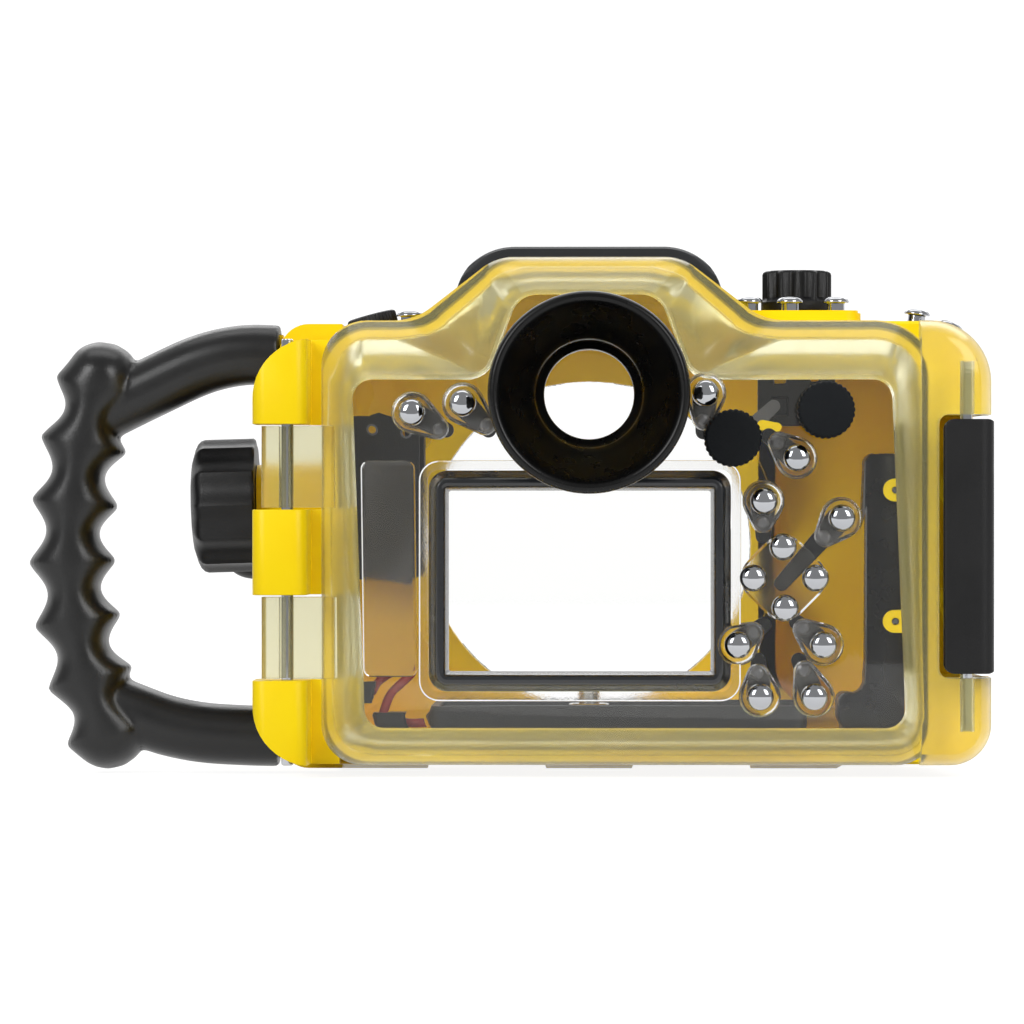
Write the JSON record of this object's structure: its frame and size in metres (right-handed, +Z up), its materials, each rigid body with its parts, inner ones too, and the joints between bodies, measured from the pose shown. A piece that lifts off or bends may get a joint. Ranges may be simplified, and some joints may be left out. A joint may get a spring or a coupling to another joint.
{
  "type": "underwater camera housing",
  "caption": "Waterproof camera housing with a clear hinged rear door, rubber eyecup, push buttons, control knobs, side latch, ribbed side grip and an open lens port.",
  "frame": {"origin": "centre of the underside of the middle base pad, below the lens axis", "axes": "+X to the right as seen from behind (handle at -X, latch at +X), +Y forwards through the lens port, +Z up"},
  "size_m": [0.2834, 0.1553, 0.1559],
  "materials": {
    "yellow_shell": "bright yellow moulded plastic, semi-gloss",
    "clear_door": "clear window with finely frosted sloping walls",
    "eyepiece_glass": "polished clear lens",
    "black_plastic": "black moulded plastic, satin",
    "black_gloss": "black moulded plastic, semi-gloss",
    "black_rubber": "soft black rubber",
    "chrome": "mirror polished caps",
    "steel": "polished stainless steel",
    "red_lead": "dark red lead with black ends"
  },
  "bodies": {
    "front_assembly": {"front_case": "yellow_shell", "main_o_ring": "black_rubber", "hinge_pin": "steel", "port_ring": "black_plastic", "hump_shroud": "black_gloss", "handle": "black_gloss", "handle_bolt_upper": "steel", "handle_bolt_lower": "steel", "shutter_bush": "black_plastic", "camera_tray": "black_plastic", "tray_screw": "steel", "grip_pad": "black_rubber", "drive_bracket": "black_plastic", "control_linkage": "black_plastic", "leak_sensor": "red_lead"},
    "rear_door": {"rear_cover": "clear_door", "monitor_frame": "black_gloss", "eyecup": "black_rubber", "eyepiece_glass": "eyepiece_glass", "latch_pin_upper": "steel", "latch_pin_lower": "steel"},
    "latch_lever": {"latch_lever": "black_plastic"},
    "latch_hook": {"latch_hook": "steel"},
    "rear_push_1": {"rear_button_1": "chrome", "button_arm_1": "black_plastic"},
    "rear_push_2": {"rear_button_2": "chrome", "button_arm_2": "black_plastic"},
    "rear_push_3": {"rear_button_3": "chrome", "button_arm_3": "black_plastic"},
    "rear_push_4": {"rear_button_4": "chrome", "button_arm_4": "black_plastic"},
    "rear_push_5": {"rear_button_5": "chrome", "button_arm_5": "black_plastic"},
    "rear_push_6": {"rear_button_6": "chrome", "button_arm_6": "black_plastic"},
    "rear_push_7": {"rear_button_7": "chrome"},
    "rear_push_8": {"rear_button_8": "chrome"},
    "rear_push_9": {"rear_button_9": "chrome"},
    "rear_push_10": {"rear_button_10": "chrome"},
    "rear_push_11": {"rear_button_11": "chrome", "button_arm_11": "black_plastic"},
    "rear_push_12": {"rear_button_12": "chrome", "button_arm_12": "black_plastic"},
    "rear_push_13": {"rear_button_13": "chrome", "button_arm_13": "black_plastic"},
    "rear_push_14": {"rear_button_14": "chrome", "button_arm_14": "black_plastic"},
    "rear_knob_inner": {"rear_knob_inner": "black_plastic"},
    "rear_knob_outer": {"rear_knob_outer": "black_plastic"},
    "top_knob": {"top_knob": "black_plastic"},
    "left_release": {"left_release": "black_plastic"},
    "side_drive": {"side_knob": "black_plastic", "drive_gear": "black_plastic"},
    "top_push_1": {"top_button_1": "chrome"},
    "top_push_2": {"top_button_2": "chrome"},
    "top_push_3": {"top_button_3": "chrome"},
    "shutter_push": {"shutter_button": "chrome"},
    "shoulder_push": {"shoulder_button": "chrome"},
    "left_release_push": {"left_release_button": "chrome"},
    "port_release_push": {"port_release": "black_plastic"}
  },
  "joints": [
    {"name": "door_hinge", "type": "hinge", "parent": "front_assembly", "child": "rear_door", "pos_m": [-0.0877, -0.048, 0.066], "axis": [0, 0, -1], "range_deg": [0, 110]},
    {"name": "latch_turn", "type": "hinge", "parent": "rear_door", "child": "latch_lever", "pos_m": [0.1092, -0.0505, 0.06775], "axis": [0, 0, -1], "range_deg": [0, 100]},
    {"name": "hook_swing", "type": "hinge", "parent": "latch_lever", "child": "latch_hook", "pos_m": [0.1112, -0.038, 0.06775], "axis": [0, 0, -1], "range_deg": [-3, 8]},
    {"name": "rear_push_1", "type": "slide", "parent": "rear_door", "child": "rear_push_1", "axis": [0, 1, 0], "range_m": [0, 0.0021], "stiffness_N_per_m": 300, "springref_m": -0.001},
    {"name": "rear_push_2", "type": "slide", "parent": "rear_door", "child": "rear_push_2", "axis": [0, 1, 0], "range_m": [0, 0.0021], "stiffness_N_per_m": 300, "springref_m": -0.001},
    {"name": "rear_push_3", "type": "slide", "parent": "rear_door", "child": "rear_push_3", "axis": [0, 1, 0], "range_m": [0, 0.0021], "stiffness_N_per_m": 300, "springref_m": -0.001},
    {"name": "rear_push_4", "type": "slide", "parent": "rear_door", "child": "rear_push_4", "axis": [0, 1, 0], "range_m": [0, 0.0021], "stiffness_N_per_m": 300, "springref_m": -0.001},
    {"name": "rear_push_5", "type": "slide", "parent": "rear_door", "child": "rear_push_5", "axis": [0, 1, 0], "range_m": [0, 0.0021], "stiffness_N_per_m": 300, "springref_m": -0.001},
    {"name": "rear_push_6", "type": "slide", "parent": "rear_door", "child": "rear_push_6", "axis": [0, 1, 0], "range_m": [0, 0.0021], "stiffness_N_per_m": 300, "springref_m": -0.001},
    {"name": "rear_push_7", "type": "slide", "parent": "rear_door", "child": "rear_push_7", "axis": [0, 1, 0], "range_m": [0, 0.0021], "stiffness_N_per_m": 300, "springref_m": -0.001},
    {"name": "rear_push_8", "type": "slide", "parent": "rear_door", "child": "rear_push_8", "axis": [0, 1, 0], "range_m": [0, 0.0021], "stiffness_N_per_m": 300, "springref_m": -0.001},
    {"name": "rear_push_9", "type": "slide", "parent": "rear_door", "child": "rear_push_9", "axis": [0, 1, 0], "range_m": [0, 0.0021], "stiffness_N_per_m": 300, "springref_m": -0.001},
    {"name": "rear_push_10", "type": "slide", "parent": "rear_door", "child": "rear_push_10", "axis": [0, 1, 0], "range_m": [0, 0.0021], "stiffness_N_per_m": 300, "springref_m": -0.001},
    {"name": "rear_push_11", "type": "slide", "parent": "rear_door", "child": "rear_push_11", "axis": [0, 1, 0], "range_m": [0, 0.0021], "stiffness_N_per_m": 300, "springref_m": -0.001},
    {"name": "rear_push_12", "type": "slide", "parent": "rear_door", "child": "rear_push_12", "axis": [0, 1, 0], "range_m": [0, 0.0021], "stiffness_N_per_m": 300, "springref_m": -0.001},
    {"name": "rear_push_13", "type": "slide", "parent": "rear_door", "child": "rear_push_13", "axis": [0, 1, 0], "range_m": [0, 0.0021], "stiffness_N_per_m": 300, "springref_m": -0.001},
    {"name": "rear_push_14", "type": "slide", "parent": "rear_door", "child": "rear_push_14", "axis": [0, 1, 0], "range_m": [0, 0.0021], "stiffness_N_per_m": 300, "springref_m": -0.001},
    {"name": "rear_knob_inner_turn", "type": "hinge", "parent": "rear_door", "child": "rear_knob_inner", "pos_m": [0.0412, -0.061, 0.09888], "axis": [0, -1, 0], "continuous": true},
    {"name": "rear_knob_outer_turn", "type": "hinge", "parent": "rear_door", "child": "rear_knob_outer", "pos_m": [0.06787, -0.061, 0.10698], "axis": [0, -1, 0], "continuous": true},
    {"name": "top_knob_turn", "type": "hinge", "parent": "front_assembly", "child": "top_knob", "pos_m": [0.062, -0.005, 0.137], "axis": [0, 0, 1], "continuous": true},
    {"name": "left_release_turn", "type": "hinge", "parent": "front_assembly", "child": "left_release", "pos_m": [-0.064, -0.009, 0.1325], "axis": [-0.2588, 0, 0.9659], "continuous": true},
    {"name": "side_drive_turn", "type": "hinge", "parent": "front_assembly", "child": "side_drive", "pos_m": [-0.078, 0.006, 0.0805], "axis": [0.9996, 0, 0.0297], "continuous": true},
    {"name": "top_push_1", "type": "slide", "parent": "front_assembly", "child": "top_push_1", "axis": [0, 0, -1], "range_m": [0, 0.0021], "stiffness_N_per_m": 300, "springref_m": -0.001},
    {"name": "top_push_2", "type": "slide", "parent": "front_assembly", "child": "top_push_2", "axis": [0, 0, -1], "range_m": [0, 0.0021], "stiffness_N_per_m": 300, "springref_m": -0.001},
    {"name": "top_push_3", "type": "slide", "parent": "front_assembly", "child": "top_push_3", "axis": [0, 0, -1], "range_m": [0, 0.0021], "stiffness_N_per_m": 300, "springref_m": -0.001},
    {"name": "shutter_push", "type": "slide", "parent": "front_assembly", "child": "shutter_push", "axis": [-0.1219, 0, -0.9925], "range_m": [0, 0.0021], "stiffness_N_per_m": 300, "springref_m": -0.001},
    {"name": "shoulder_push", "type": "slide", "parent": "front_assembly", "child": "shoulder_push", "axis": [-0.4384, 0, -0.8988], "range_m": [0, 0.0021], "stiffness_N_per_m": 300, "springref_m": -0.001},
    {"name": "left_release_push", "type": "slide", "parent": "front_assembly", "child": "left_release_push", "axis": [0, 0, -1], "range_m": [0, 0.0021], "stiffness_N_per_m": 300, "springref_m": -0.001},
    {"name": "port_release_push", "type": "slide", "parent": "front_assembly", "child": "port_release_push", "axis": [1, 0, 0], "range_m": [0, 0.0027], "stiffness_N_per_m": 300, "springref_m": -0.001}
  ]
}
